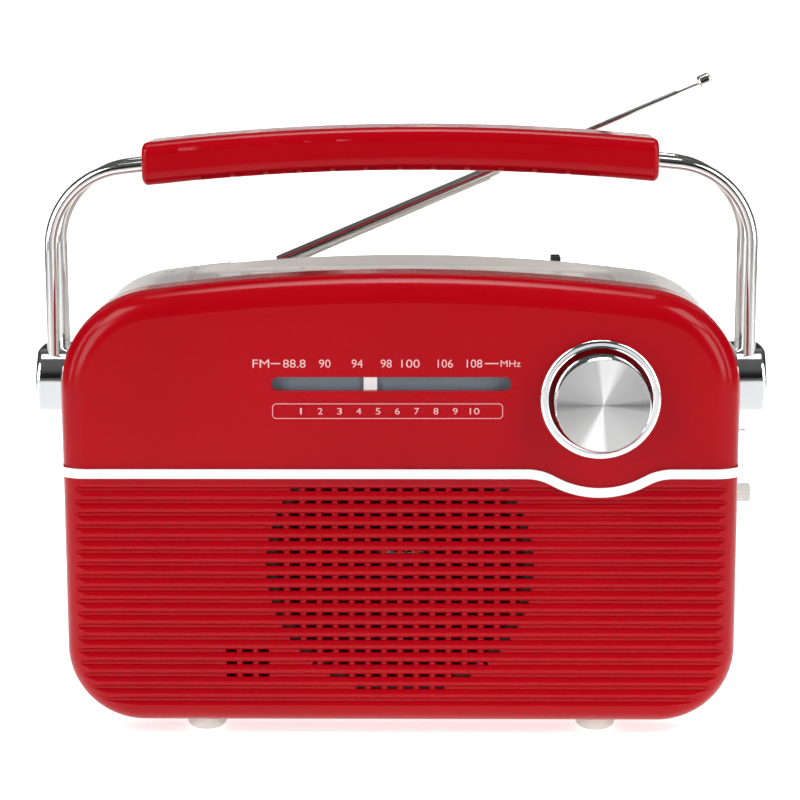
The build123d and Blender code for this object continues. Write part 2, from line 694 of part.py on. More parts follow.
# ---- Battery box, cells, contacts and door ----
with BuildPart() as battery_box:
    slab((door_left - 4, door_right + 4), (47, 77.4), (7.9, 66.6))
    slab((door_left - 2, door_right + 2), (49, 79), (9.6, 64.6), mode=Mode.SUBTRACT)
    add(case_block(wall + 0.1, 40, case_depth - wall - 0.1, far_radius=4.4), mode=Mode.INTERSECT)
battery_box.part.label = "battery_box"
export_step(battery_box.part, "parts/battery_box.step")

cell_y = back(62.2)
with BuildPart() as batteries:
    for z, start in cell_rows:
        for i in range(2):
            cross_bar(cell_y, z, cell_radius, start + i * cell_length, start + (i + 1) * cell_length - 1.5)
            cross_bar(cell_y, z, 3.0, start + (i + 1) * cell_length - 1.6, start + (i + 1) * cell_length)
batteries.part.label = "batteries"
export_step(batteries.part, "parts/batteries.step")

with BuildPart() as battery_contacts:
    for z, plate_x, spring_side in [(cell_rows[0][0], -94, 1), (cell_rows[1][0], 11.5, -1)]:
        cross_bar(cell_y, z, 8, plate_x, plate_x + 0.5)
        for i in range(4):
            ring_x = plate_x + 0.25 + spring_side * (0.9 + 1.05 * i)
            cross_bar(cell_y, z, 6.5 - i, ring_x - 0.65, ring_x + 0.65, hole=5.1 - i)
    cross_bar(cell_y, cell_rows[0][0], 8, 11.5, 12)
    cross_bar(cell_y, cell_rows[1][0], 8, -94, -93.5)
battery_contacts.part.label = "battery_contacts"
export_step(battery_contacts.part, "parts/battery_contacts.step")

with BuildPart() as battery_door:
    slab((door_left + free, door_right - free), (77.6, 79.8), (door_pivot_z, door_high - free))
    cross_bar(back(door_pivot_depth), door_pivot_z, door_barrel, door_left + free, door_right - free)
    cross_bar(back(door_pivot_depth), door_pivot_z, 0.8, door_left - 1.5, door_right + 1.5)
    middle = (door_left + door_right) / 2
    slab((middle - 9, middle + 9), (78.8, 80), (54.5, 58.5), corner=1.9, mode=Mode.SUBTRACT)
battery_door.part.label = "battery_door"
export_step(battery_door.part, "parts/battery_door.step")

# ---- Volume knob, fluted, with its stem, and the control it turns ----
with BuildPart() as volume_knob:
    cross_bar(back(volume_depth), volume_z, volume_radius, side_x + 0.8, side_x + 7.9)
    fillet(volume_knob.faces().sort_by(Axis.X)[-1].edges(), 0.6)
    with BuildSketch(Plane.YZ.offset(side_x + 0.5)):
        with Locations((back(volume_depth), volume_z)):
            with PolarLocations(volume_radius + 0.1, 20):
                Circle(0.3)
    extrude(amount=8, mode=Mode.SUBTRACT)
    cross_bar(back(volume_depth), volume_z, volume_stem, 110, side_x + 1)
volume_knob.part.label = "volume_knob"
export_step(volume_knob.part, "parts/volume_knob.step")

with BuildPart() as volume_pot:
    cross_bar(back(volume_depth), volume_z, 6, side_x - 13.5, side_x - wall)
    cross_bar(back(volume_depth), volume_z, volume_stem + running, 109.5, side_x, mode=Mode.SUBTRACT)
volume_pot.part.label = "volume_pot"
export_step(volume_pot.part, "parts/volume_pot.step")

# ---- Handle: two hubs, two bent rods, a moulded grip ----
arch_z = rod_crown_z - rod_arch_radius
rod_low = 127.0


def rod_corner(side):
    """Points of one rod corner: top of the upright, middle of the bend, start of the arch."""
    bend_x = side * (rod_x - rod_bend)
    offset = bend_x - rod_arch_x
    reach = rod_arch_radius - rod_bend
    rise = sqrt(reach**2 - offset**2)
    bend_z = arch_z + rise
    end_angle = atan2(rise, side * offset)
    turn = end_angle / 2
    middle = (bend_x + side * rod_bend * cos(turn), bend_z + rod_bend * sin(turn))
    meet = (bend_x + side * rod_bend * cos(end_angle), bend_z + rod_bend * sin(end_angle))
    return (side * rod_x, bend_z), middle, meet


def rod_bar(y, radius):
    """Bent rod of the handle, standing in the plane y."""
    with BuildPart(mode=Mode.PRIVATE) as rod:
        with BuildLine(Plane.XZ.offset(-y)) as path:
            left_top, left_middle, left_meet = rod_corner(-1)
            right_top, right_middle, right_meet = rod_corner(1)
            Line((-rod_x, rod_low), left_top)
            ThreePointArc(left_top, left_middle, left_meet)
            ThreePointArc(left_meet, (rod_arch_x, rod_crown_z), right_meet)
            ThreePointArc(right_meet, right_middle, right_top)
            Line(right_top, (rod_x, rod_low))
        with BuildSketch(Plane.XY.offset(rod_low)):
            with Locations((-rod_x, y)):
                Circle(radius)
        sweep(path=path.wires()[0])
    return rod.part


rod_front_y, rod_rear_y = hub_y - rod_gap / 2, hub_y + rod_gap / 2
for name, y in [("handle_rod_front", rod_front_y), ("handle_rod_rear", rod_rear_y)]:
    with BuildPart() as handle_rod:
        add(rod_bar(y, rod_radius))
    handle_rod.part.label = name
    export_step(handle_rod.part, f"parts/{name}.step")

for name, side in [("hub_left", -1), ("hub_right", 1)]:
    with BuildPart() as hub:
        with BuildSketch(Plane.YZ.offset(side * hub_inner_x)):
            with Locations((hub_y, hub_z)):
                RectangleRounded(hub_width, hub_height, hub_corner)
        extrude(amount=side * (hub_outer_x - hub_inner_x))
        with Locations((side * (hub_outer_x - hub_dome_radius), hub_y, hub_z)):
            Sphere(hub_dome_radius, mode=Mode.INTERSECT)
        fillet(hub.faces().filter_by(GeomType.SPHERE).edges(), 2.0)
        # Spigot through the case wall, screw hole and the two rod bores
        cross_bar(hub_y, hub_z, spigot_radius, side * (side_x - 3.4), side * (hub_inner_x + 1))
        cross_bar(hub_y, hub_z, 1.5, side * (side_x - 4), side * (side_x + 3), mode=Mode.SUBTRACT)
        with BuildSketch(Plane.XY.offset(rod_low)):
            with Locations((side * rod_x, rod_front_y), (side * rod_x, rod_rear_y)):
                Circle(rod_radius)
        extrude(amount=20, mode=Mode.SUBTRACT)
    hub.part.label = name
    export_step(hub.part, f"parts/{name}.step")

with BuildPart() as hub_retainers:
    for side in (-1, 1):
        cross_bar(hub_y, hub_z, 9.5, side * (side_x - 4.8), side * (side_x - 3.4), hole=1.5)
hub_retainers.part.label = "hub_retainers"
export_step(hub_retainers.part, "parts/hub_retainers.step")

with BuildPart() as hub_screws:
    for side in (-1, 1):
        cross_bar(hub_y, hub_z, 2.8, side * (side_x - 6.8), side * (side_x - 4.8))
        cross_bar(hub_y, hub_z, 1.5, side * (side_x - 4.8), side * (side_x + 2.6))
hub_screws.part.label = "hub_screws"
export_step(hub_screws.part, "parts/hub_screws.step")

with BuildPart() as friction_washers:
    for side in (-1, 1):
        cross_bar(hub_y, hub_z, 12, side * side_x, side * (side_x + 0.6), hole=spigot_radius + 0.4)
friction_washers.part.label = "friction_washers"
export_step(friction_washers.part, "parts/friction_washers.step")

grip_mid_radius = rod_arch_radius + 0.5
with BuildPart() as grip:
    half_length, half_height = grip_half_length, grip_height / 2
    with BuildSketch(Plane.XZ.offset(-(hub_y - grip_thickness / 2))):
        with Locations((rod_arch_x, arch_z)):
            Circle(grip_mid_radius + half_height)
            Circle(grip_mid_radius - half_height, mode=Mode.SUBTRACT)
        with Locations((0, rod_crown_z)):
            Rectangle(2 * half_length, 60, mode=Mode.INTERSECT)
    extrude(amount=-grip_thickness)
    long_edges = grip.edges().filter_by(GeomType.CIRCLE)
    fillet(long_edges, 4.8)
    fillet(grip.faces().filter_by(Plane.YZ).edges(), 2.0)
    for y in (rod_front_y, rod_rear_y):
        add(rod_bar(y, rod_radius + running), mode=Mode.SUBTRACT)
    # Twelve finger pockets along each lower edge
    pocket_arc = grip_mid_radius - half_height
    for near, far in [(hub_y - 18, hub_y - 13.2), (hub_y + 13.2, hub_y + 18)]:
        with BuildSketch(Plane.XZ.offset(-near)):
            with Locations((rod_arch_x, arch_z)):
                Circle(pocket_arc + 1.8)
                Circle(pocket_arc - 3, mode=Mode.SUBTRACT)
            with Locations(*[((i - 5.5) * 12.1, rod_crown_z - 8) for i in range(12)]):
                Rectangle(10.2, 24, mode=Mode.INTERSECT)
        extrude(amount=near - far, mode=Mode.SUBTRACT)
grip.part.label = "grip"
export_step(grip.part, "parts/grip.step")

# ---- Aerial: base, swivel, five telescoping tubes and a tip, plus its clip ----
aerial_pivot = Vector(aerial_x, aerial_y, aerial_z)
along = Vector(cos(radians(aerial_angle)), 0, sin(radians(aerial_angle)))
across = Vector(-sin(radians(aerial_angle)), 0, cos(radians(aerial_angle)))


def aerial_tube(outer, start, stop, inner=0.0, mode=Mode.ADD):
    """Round bar or tube on the aerial's axis, between two distances from the pivot."""
    with BuildSketch(Plane(origin=aerial_pivot + along * start, x_dir=(0, 1, 0), z_dir=along)) as section:
        Circle(outer)
        if inner:
            Circle(inner, mode=Mode.SUBTRACT)
    extrude(section.sketch, amount=stop - start, mode=mode)


def cheek(offset, thickness, length, width, hole, root=0.0):
    """Flat lug across the tilt pin, with a round end at the pin; root runs towards the swivel."""
    plane = Plane(origin=aerial_pivot + across * offset, x_dir=along, z_dir=across)
    with BuildSketch(plane) as section:
        Circle(width)
        if length:
            with Locations((length / 2, 0)):
                Rectangle(length, 2 * width)
        if root:
            with Locations((0, -root / 2)):
                Rectangle(2 * width, root)
        Circle(hole, mode=Mode.SUBTRACT)
    extrude(section.sketch, amount=thickness)


with BuildPart() as antenna_base:
    bar(aerial_x, aerial_z, 4.2, 70, 71.6)
    bar(aerial_x, aerial_z, 1.0, 62, 70.1)
    bar(aerial_x, aerial_z, 1.5, 71.5, 72.8)
antenna_base.part.label = "antenna_base"
export_step(antenna_base.part, "parts/antenna_base.step")

with BuildPart() as antenna_knuckle:
    bar(aerial_x, aerial_z, 4.0, 71.9, 73.0)
    cheek(1.6, 1.2, 0, 3.0, 1.0, root=2.6)
    cheek(-2.8, 1.2, 0, 3.0, 1.0, root=2.6)
    bar(aerial_x, aerial_z, 1.5 + running, 71, 72.95, mode=Mode.SUBTRACT)
antenna_knuckle.part.label = "antenna_knuckle"
export_step(antenna_knuckle.part, "parts/antenna_knuckle.step")

with BuildPart() as antenna_pin:
    with BuildSketch(Plane(origin=aerial_pivot - across * 3.0, x_dir=along, z_dir=across)):
        Circle(1.0)
    extrude(amount=6.0)
antenna_pin.part.label = "antenna_pin"
export_step(antenna_pin.part, "parts/antenna_pin.step")

for i in range(5):
    outer = tube_radii[i]
    with BuildPart() as antenna_tube:
        if i == 0:
            # The root tube has a flat tongue at the tilt pin and a ring at its mouth
            cheek(-1.4, 2.8, 8.0, 2.2, 1.0 + running)
            aerial_tube(outer, 7.0, 11.0)
            aerial_tube(outer, 10.5, tube_ends[0] - 2.7, tube_radii[1] + running)
            aerial_tube(3.0, tube_ends[0] - 2.7, tube_ends[0], tube_radii[1] + running)
        elif i < 4:
            aerial_tube(outer, tube_ends[i] - tube_length, tube_ends[i], tube_radii[i + 1] + running)
        else:
            aerial_tube(outer, tube_ends[i] - tube_length, tube_ends[i])
    antenna_tube.part.label = f"antenna_tube_{i + 1}"
    export_step(antenna_tube.part, f"parts/antenna_tube_{i + 1}.step")

with BuildPart() as antenna_cap:
    aerial_tube(2.85, tube_ends[4], tube_ends[4] + 5.0)
    fillet(antenna_cap.edges().filter_by(GeomType.CIRCLE), 0.9)
antenna_cap.part.label = "antenna_cap"
export_step(antenna_cap.part, "parts/antenna_cap.step")

with BuildPart() as antenna_clip:
    slab((57.2, 60.8), (71.1, 79.9), (channel_floor_z, channel_floor_z + 1.2))
    slab((57.2, 60.8), (71.1, 72.3), (channel_floor_z, 169.0))
    slab((57.2, 60.8), (78.7, 79.9), (channel_floor_z, 169.0))
antenna_clip.part.label = "antenna_clip"
export_step(antenna_clip.part, "parts/antenna_clip.step")
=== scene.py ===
import json
import math

import bmesh
import bpy
from mathutils import Matrix, Vector


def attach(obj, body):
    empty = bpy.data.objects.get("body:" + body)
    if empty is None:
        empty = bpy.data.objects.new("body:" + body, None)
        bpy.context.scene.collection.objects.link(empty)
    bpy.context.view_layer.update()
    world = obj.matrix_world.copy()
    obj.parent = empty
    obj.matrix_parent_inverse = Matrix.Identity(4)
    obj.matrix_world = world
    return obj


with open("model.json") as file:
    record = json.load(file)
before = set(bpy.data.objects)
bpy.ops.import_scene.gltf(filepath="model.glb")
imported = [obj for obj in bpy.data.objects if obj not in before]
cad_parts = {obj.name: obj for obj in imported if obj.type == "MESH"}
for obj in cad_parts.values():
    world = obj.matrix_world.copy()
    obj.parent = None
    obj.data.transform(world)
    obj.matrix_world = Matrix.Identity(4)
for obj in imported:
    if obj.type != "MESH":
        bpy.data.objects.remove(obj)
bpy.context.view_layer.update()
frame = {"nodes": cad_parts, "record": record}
nodes = frame["nodes"]

# ---- Sizes repeated from the CAD, in metres ----
FRONT_Y = -0.033
KNOB_X, KNOB_Z = 0.0714, 0.1262

# ---- Camera: in front and ten degrees above, aimed at the front face a little over its middle ----
CAMERA_DISTANCE = 0.8
SENSOR_WIDTH = 36.0
FOCAL_LENGTH = 101.25
CAMERA_ELEVATION = math.radians(10.0)
CAMERA_AZIMUTH = math.radians(0.9)
CAMERA_ROLL = math.radians(-0.15)
CAMERA_TARGET = Vector((0.0002, FRONT_Y, 0.1258))


def make_camera():
    data = bpy.data.cameras.new("camera")
    data.sensor_width = SENSOR_WIDTH
    data.lens = FOCAL_LENGTH
    data.clip_start, data.clip_end = 0.01, 50.0
    camera = bpy.data.objects.new("camera", data)
    bpy.context.collection.objects.link(camera)
    back = Vector(
        (
            math.sin(CAMERA_AZIMUTH) * math.cos(CAMERA_ELEVATION),
            -math.cos(CAMERA_AZIMUTH) * math.cos(CAMERA_ELEVATION),
            math.sin(CAMERA_ELEVATION),
        )
    )
    camera.rotation_mode = "QUATERNION"
    camera.location = CAMERA_TARGET + back * CAMERA_DISTANCE
    turn = (-back).to_track_quat("-Z", "Y")
    roll = Matrix.Rotation(CAMERA_ROLL, 4, "Z").to_quaternion()
    camera.rotation_quaternion = turn @ roll
    bpy.context.scene.camera = camera


# ---- Materials ----
class Shader:
    """Small helper round a material's node tree."""

    def __init__(self, name, color, roughness, metallic=0.0, coat=0.0):
        self.material = bpy.data.materials.new(name)
        self.material.use_nodes = True
        self.tree = self.material.node_tree
        self.bsdf = self.tree.nodes["Principled BSDF"]
        self.set("Base Color", (*color, 1.0))
        self.set("Roughness", roughness)
        self.set("Metallic", metallic)
        self.set("Coat Weight", coat)
        self.coords = self.node("ShaderNodeTexCoord").outputs["Object"]
        self.height = None

    def node(self, kind, **settings):
        made = self.tree.nodes.new(kind)
        for key, value in settings.items():
            setattr(made, key, value)
        return made

    def set(self, socket, value):
        self.bsdf.inputs[socket].default_value = value

    def link(self, source, target):
        self.tree.links.new(source, target)

    def mapped(self, scale=(1, 1, 1), location=(0, 0, 0)):
        mapping = self.node("ShaderNodeMapping")
        mapping.inputs["Scale"].default_value = scale
        mapping.inputs["Location"].default_value = location
        self.link(self.coords, mapping.inputs["Vector"])
        return mapping.outputs["Vector"]

    def noise(self, scale, detail=3.0, vector=None, roughness=0.5):
        made = self.node("ShaderNodeTexNoise")
        made.inputs["Scale"].default_value = scale
        made.inputs["Detail"].default_value = detail
        made.inputs["Roughness"].default_value = roughness
        self.link(vector or self.coords, made.inputs["Vector"])
        return made.outputs["Fac"]

    def spread(self, source, low, high, start=0.3, end=0.7):
        """Remaps a 0 to 1 pattern to low..high."""
        made = self.node("ShaderNodeMapRange")
        for key, value in (("From Min", start), ("From Max", end), ("To Min", low), ("To Max", high)):
            made.inputs[key].default_value = value
        self.link(source, made.inputs["Value"])
        return made.outputs["Result"]

    def ramp(self, source, stops):
        made = self.node("ShaderNodeValToRGB")
        elements = made.color_ramp.elements
        while len(elements) < len(stops):
            elements.new(0.5)
        for element, (position, color) in zip(elements, stops):
            element.position = position
            element.color = (*color, 1.0)
        self.link(source, made.inputs["Fac"])
        return made.outputs["Color"]

    def color(self, source):
        self.link(source, self.bsdf.inputs["Base Color"])

    def rough(self, source):
        self.link(source, self.bsdf.inputs["Roughness"])

    def bump(self, source, distance, strength=1.0):
        made = self.node("ShaderNodeBump")
        made.inputs["Distance"].default_value = distance
        made.inputs["Strength"].default_value = strength
        self.link(source, made.inputs["Height"])
        if self.height is not None:
            self.link(self.height, made.inputs["Normal"])
        self.height = made.outputs["Normal"]
        self.link(self.height, self.bsdf.inputs["Normal"])


def tint(color, factor):
    return tuple(max(0.0, min(1.0, c * factor)) for c in color)


def plastic(name, color, roughness, coat=0.0, grain=900.0, grain_depth=0.00001, spread=0.06):
    """Moulded plastic: slight colour drift, uneven gloss and a fine moulding texture."""
    shader = Shader(name, color, roughness, coat=coat)
    drift = shader.noise(14.0, 2.0)
    shader.color(shader.ramp(drift, [(0.3, tint(color, 1 - spread)), (0.7, tint(color, 1 + spread))]))
    smear = shader.noise(60.0, 5.0, roughness=0.65)
    shader.rough(shader.spread(smear, roughness * 0.8, roughness * 1.25))
    shader.bump(shader.noise(grain, 2.0), grain_depth)
    return shader


def red_plastic(name, color, roughness):
    shader = plastic(name, color, roughness, grain=240.0, grain_depth=0.000004)
    shader.set("Specular IOR Level", 0.14)
    return shader


def chrome(name, roughness=0.05, base=(0.86, 0.87, 0.88)):
    """Bright plate with faint handling haze and fine scratches."""
    shader = Shader(name, base, roughness, metallic=1.0)
    haze = shader.noise(45.0, 6.0, roughness=0.7)
    shader.rough(shader.spread(haze, roughness * 0.7, roughness * 2.4))
    tone = shader.noise(9.0, 2.0)
    shader.color(shader.ramp(tone, [(0.3, tint(base, 0.96)), (0.7, base)]))
    scratches = shader.noise(1.0, 1.0, vector=shader.mapped(scale=(300.0, 300.0, 5000.0)))
    shader.bump(scratches, 0.0000015, 0.5)
    return shader


def spun(name, x, z, base=(0.84, 0.845, 0.85), roughness=0.24):
    """Lathe-turned disc: circular tool lines, so highlights fan out from the middle, with painted highlight
    and shade fans in the colour as well.
    """
    shader = Shader(name, base, roughness, metallic=1.0)
    centred = shader.mapped(location=(-x, 0, -z))
    ring = shader.node("ShaderNodeTexWave", wave_type="RINGS", rings_direction="Y", wave_profile="SIN")
    ring.inputs["Scale"].default_value = 900.0
    ring.inputs["Distortion"].default_value = 0.6
    ring.inputs["Detail"].default_value = 2.0
    shader.link(centred, ring.inputs["Vector"])
    shader.bump(ring.outputs["Fac"], 0.000012, 0.35)
    radial = shader.node("ShaderNodeTangent", direction_type="RADIAL", axis="Y")
    shader.link(radial.outputs["Tangent"], shader.bsdf.inputs["Tangent"])
    shader.set("Anisotropic", 0.92)
    shader.rough(shader.spread(ring.outputs["Fac"], roughness * 0.9, roughness * 1.15, 0.0, 1.0))
    # Painted highlight and shade: the colour is brighter in two fans and darker in two round the disc, by
    # angle, in place of the turned finish's lit and shaded fans
    turned = shader.node("ShaderNodeMapping")
    turned.inputs["Rotation"].default_value = (math.radians(-90), 0, 0)
    shader.link(centred, turned.inputs["Vector"])
    angle = shader.node("ShaderNodeTexGradient", gradient_type="RADIAL")
    shader.link(turned.outputs["Vector"], angle.inputs["Vector"])
    painted_highlight_fans = [
        (0.0, 0.3), (0.03, 0.55), (0.16, 0.62), (0.19, 0.98), (0.25, 1.0), (0.27, 0.6), (0.47, 0.62),
        (0.5, 0.25), (0.53, 0.6), (0.66, 0.6), (0.7, 1.0), (0.76, 0.98), (0.78, 0.6), (0.97, 0.55),
        (1.0, 0.3),
    ]
    stops = [(place, tint(base, value)) for place, value in painted_highlight_fans]
    shader.color(shader.ramp(angle.outputs["Fac"], stops))
    return shader


def metal(name, base, roughness=0.35, metallic=1.0):
    shader = Shader(name, base, roughness, metallic=metallic)
    grain = shader.noise(300.0, 4.0)
    shader.rough(shader.spread(grain, roughness * 0.75, roughness * 1.3))
    tone = shader.noise(40.0, 3.0)
    shader.color(shader.ramp(tone, [(0.3, tint(base, 0.88)), (0.7, tint(base, 1.05))]))
    shader.bump(grain, 0.000008)
    return shader


def drawn_tube(name, base, roughness):
    """Plated tube: smooth along its length, with only a slight change of gloss."""
    shader = Shader(name, base, roughness, metallic=1.0)
    shader.rough(shader.spread(shader.noise(700.0, 3.0), roughness * 0.85, roughness * 1.2))
    shader.color(shader.ramp(shader.noise(25.0, 2.0), [(0.3, tint(base, 0.95)), (0.7, tint(base, 1.03))]))
    return shader


def fibrous(name, color, scale=1500.0, depth=0.00005, roughness=0.85):
    shader = Shader(name, color, roughness)
    fibres = shader.noise(scale, 5.0)
    shader.color(shader.ramp(fibres, [(0.3, tint(color, 0.7)), (0.7, tint(color, 1.25))]))
    shader.bump(fibres, depth)
    return shader


def twisted_cord(name, color):
    shader = Shader(name, color, 0.7)
    twist = shader.node("ShaderNodeTexWave", bands_direction="DIAGONAL")
    twist.inputs["Scale"].default_value = 700.0
    shader.link(shader.coords, twist.inputs["Vector"])
    shader.color(shader.ramp(twist.outputs["Fac"], [(0.2, tint(color, 0.6)), (0.8, color)]))
    shader.bump(twist.outputs["Fac"], 0.0001)
    return shader


def board(name):
    shader = Shader(name, (0.36, 0.22, 0.09), 0.5)
    tracks = shader.node("ShaderNodeTexBrick")
    tracks.inputs["Scale"].default_value = 60.0
    tracks.inputs["Color1"].default_value = (0.36, 0.22, 0.09, 1)
    tracks.inputs["Color2"].default_value = (0.31, 0.19, 0.08, 1)
    tracks.inputs["Mortar"].default_value = (0.5, 0.27, 0.1, 1)
    turned = shader.node("ShaderNodeMapping")
    turned.inputs["Rotation"].default_value = (math.radians(90), 0, 0)
    shader.link(shader.coords, turned.inputs["Vector"])
    shader.link(turned.outputs["Vector"], tracks.inputs["Vector"])
    shader.color(tracks.outputs["Color"])
    shader.bump(tracks.outputs["Fac"], 0.00003)
    return shader


RED = (0.3, 0.001, 0.005)
IVORY = (0.64, 0.64, 0.61)
BLACK = (0.018, 0.018, 0.02)

slots = {
    "red_plastic": red_plastic("red_plastic", RED, 0.16),
    "chrome": chrome("chrome"),
    "spun_aluminium": spun("spun_aluminium", KNOB_X, KNOB_Z, base=(0.97, 0.97, 0.97)),
    "ivory_plastic": plastic("ivory_plastic", IVORY, 0.32, coat=0.1),
    "pale_rubber": plastic("pale_rubber", (0.58, 0.57, 0.52), 0.7, grain=1400.0, grain_depth=0.00003),
    "steel": metal("steel", (0.55, 0.56, 0.57)),
    "aluminium_can": metal("aluminium_can", (0.7, 0.71, 0.72), 0.4),
    "brass": metal("brass", (0.72, 0.55, 0.25), 0.25),
    "dark_plastic": plastic("dark_plastic", BLACK, 0.5, grain=1200.0, grain_depth=0.00002, spread=0.25),
    "cord": twisted_cord("cord", (0.6, 0.52, 0.35)),
    "cone_paper": fibrous("cone_paper", (0.02, 0.02, 0.022)),
    "fibre": fibrous("fibre", (0.3, 0.16, 0.08)),
    "scale_plate": plastic("scale_plate", (0.2, 0.25, 0.29), 0.45, grain=1500.0),
    "white_plastic": plastic("white_plastic", (0.92, 0.92, 0.92), 0.3),
    "board": board("board"),
    "cell_jacket": metal("cell_jacket", (0.08, 0.12, 0.2), 0.35, metallic=0.4),
}
ink_shader = plastic("print", (0.62, 0.38, 0.38), 0.5, grain=3000.0, grain_depth=0.000003)
dome_shader = metal("dome_foil", (0.72, 0.73, 0.74), 0.2)
nickel_shader = drawn_tube("aerial_nickel", (0.8, 0.79, 0.76), 0.14)
wire_shader = chrome("handle_chrome", 0.07, base=(0.68, 0.67, 0.66))
frame_shader = plastic("speaker_frame_paint", (0.03, 0.03, 0.03), 0.6, grain=1200.0, spread=0.2)
own_material = {
    "speaker_dust_cap": dome_shader,
    "speaker_frame": frame_shader,
    "handle_rod_front": wire_shader,
    "handle_rod_rear": wire_shader,
    "antenna_tube_1": nickel_shader,
    "antenna_tube_2": nickel_shader,
    "antenna_tube_3": nickel_shader,
    "antenna_tube_4": nickel_shader,
    "antenna_tube_5": nickel_shader,
    "antenna_cap": nickel_shader,
}

node_slot = {part["node"]: part["material_slot"] for part in frame["record"]["subparts"]}
for name, obj in nodes.items():
    shader = own_material.get(name) or slots[node_slot[name]]
    obj.data.materials.clear()
    obj.data.materials.append(shader.material)


# ---- Printing on the front: scale names, numbers and a frame, as thin raised ink ----
INK_FRONT = FRONT_Y - 0.00003
INK_BACK = FRONT_Y + 0.00002
INK_THINNING = -0.004


def add_piece(obj, body, shader):
    obj.data.materials.clear()
    obj.data.materials.append(shader.material)
    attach(obj, body)


def add_print(obj):
    add_piece(obj, "case", ink_shader)


def mesh_object(name, mesh):
    obj = bpy.data.objects.new(name, mesh)
    bpy.context.collection.objects.link(obj)
    return obj


def text_mesh(name, words, left, right, middle_z, height):
    """Lettering between two X, as a mesh standing on the front face."""
    curve = bpy.data.curves.new(name, "FONT")
    curve.body = words
    curve.size = 1.0
    curve.offset = INK_THINNING
    curve.extrude = 0.02
    curve.resolution_u = 4
    made = bpy.data.objects.new(name, curve)
    bpy.context.collection.objects.link(made)
    bpy.context.view_layer.update()
    mesh = bpy.data.meshes.new_from_object(made.evaluated_get(bpy.context.evaluated_depsgraph_get()))
    bpy.data.objects.remove(made)
    xs = [v.co.x for v in mesh.vertices]
    ys = [v.co.y for v in mesh.vertices]
    wide, tall = max(xs) - min(xs), max(ys) - min(ys)
    for v in mesh.vertices:
        x = left + (v.co.x - min(xs)) / wide * (right - left)
        z = middle_z + ((v.co.y - min(ys)) / tall - 0.5) * height
        y = INK_BACK if v.co.z < 0 else INK_FRONT
        v.co = (x, y, z)
    mesh.flip_normals()
    mesh.update()
    return mesh_object(name, mesh)


def bar_mesh(name, left, right, middle_z, height):
    """Short printed line."""
    bm = bmesh.new()
    low, high = middle_z - height / 2, middle_z + height / 2
    bmesh.ops.create_cube(bm, size=1.0)
    for v in bm.verts:
        v.co = (
            right if v.co.x > 0 else left,
            INK_BACK if v.co.y > 0 else INK_FRONT,
            high if v.co.z > 0 else low,
        )
    mesh = bpy.data.meshes.new(name)
    bm.to_mesh(mesh)
    bm.free()
    return mesh_object(name, mesh)


def frame_mesh(name, left, right, low, high, corner, line):
    """Rounded frame drawn with a line of even width."""
    def loop(inset, y):
        radius = corner - inset
        points = []
        for cx, cz, start in (
            (right - corner, high - corner, 0), (left + corner, high - corner, 90),
            (left + corner, low + corner, 180), (right - corner, low + corner, 270),
        ):
            for step in range(7):
                angle = math.radians(start + step * 15)
                points.append((cx + radius * math.cos(angle), y, cz + radius * math.sin(angle)))
        return points

    bm = bmesh.new()
    rings = [
        [bm.verts.new(p) for p in loop(inset, y)]
        for inset, y in ((0, INK_BACK), (0, INK_FRONT), (line, INK_FRONT), (line, INK_BACK))
    ]
    count = len(rings[0])
    for a, b in zip(rings, rings[1:] + rings[:1]):
        for i in range(count):
            j = (i + 1) % count
            bm.faces.new((a[i], a[j], b[j], b[i]))
    bmesh.ops.recalc_face_normals(bm, faces=bm.faces)
    mesh = bpy.data.meshes.new(name)
    bm.to_mesh(mesh)
    bm.free()
    return mesh_object(name, mesh)


# Places on the face, in metres
PRINT_ROW_Z = 0.1389
PRINT_HEIGHT = 0.0029
SMALL_PRINT_HEIGHT = 0.0023
DASH_HEIGHT = 0.0004
LOG_FRAME_LEFT, LOG_FRAME_RIGHT = -0.0453, 0.0368
LOG_FRAME_LOW, LOG_FRAME_HIGH = 0.1190, 0.1245
LOG_FRAME_CORNER = 0.0014
LOG_FRAME_LINE = 0.00022
LOG_ROW_Z = (LOG_FRAME_LOW + LOG_FRAME_HIGH) / 2
LOG_FIRST_X, LOG_PITCH = -0.0351, 0.00687
LOG_COUNT = 10
LOG_DIGIT_WIDTH = 0.0017
scale_words = [
    ("print_fm", "FM", -0.0521, -0.0462), ("print_88", "88.8", -0.0413, -0.0333),
    ("print_90", "90", -0.0285, -0.0244), ("print_94", "94", -0.0169, -0.0130),
    ("print_98", "98", -0.0066, -0.0027), ("print_100", "100", 0.0007, 0.0072),
    ("print_106", "106", 0.0136, 0.0190), ("print_108", "108", 0.0239, 0.0294),
    ("print_mhz", "MHz", 0.0359, 0.0430),
]
for name, words, left, right in scale_words:
    height = SMALL_PRINT_HEIGHT if name == "print_mhz" else PRINT_HEIGHT
    add_print(text_mesh(name, words, left, right, PRINT_ROW_Z, height))
for name, left, right in (("print_dash_left", -0.0457, -0.0423), ("print_dash_right", 0.0303, 0.0351)):
    add_print(bar_mesh(name, left, right, PRINT_ROW_Z, DASH_HEIGHT))
log_frame = frame_mesh(
    "print_frame", LOG_FRAME_LEFT, LOG_FRAME_RIGHT, LOG_FRAME_LOW, LOG_FRAME_HIGH,
    LOG_FRAME_CORNER, LOG_FRAME_LINE,
)
add_print(log_frame)
log_widths = {1: 0.0006, LOG_COUNT: 2 * LOG_DIGIT_WIDTH}
for number in range(1, LOG_COUNT + 1):
    middle = LOG_FIRST_X + LOG_PITCH * (number - 1)
    width = log_widths.get(number, LOG_DIGIT_WIDTH)
    left, right = middle - width / 2, middle + width / 2
    add_print(text_mesh(f"print_log_{number}", str(number), left, right, LOG_ROW_Z, SMALL_PRINT_HEIGHT))


# ---- Floor and light, in metres ----
FLOOR_FLAT_RADIUS = 4.0
FLOOR_CURVE_RADIUS = 0.6
GLOW_RADIUS = 1.5
GLOW_BEHIND = 0.7
LIGHT_TARGET = (0, 0, 0.12)


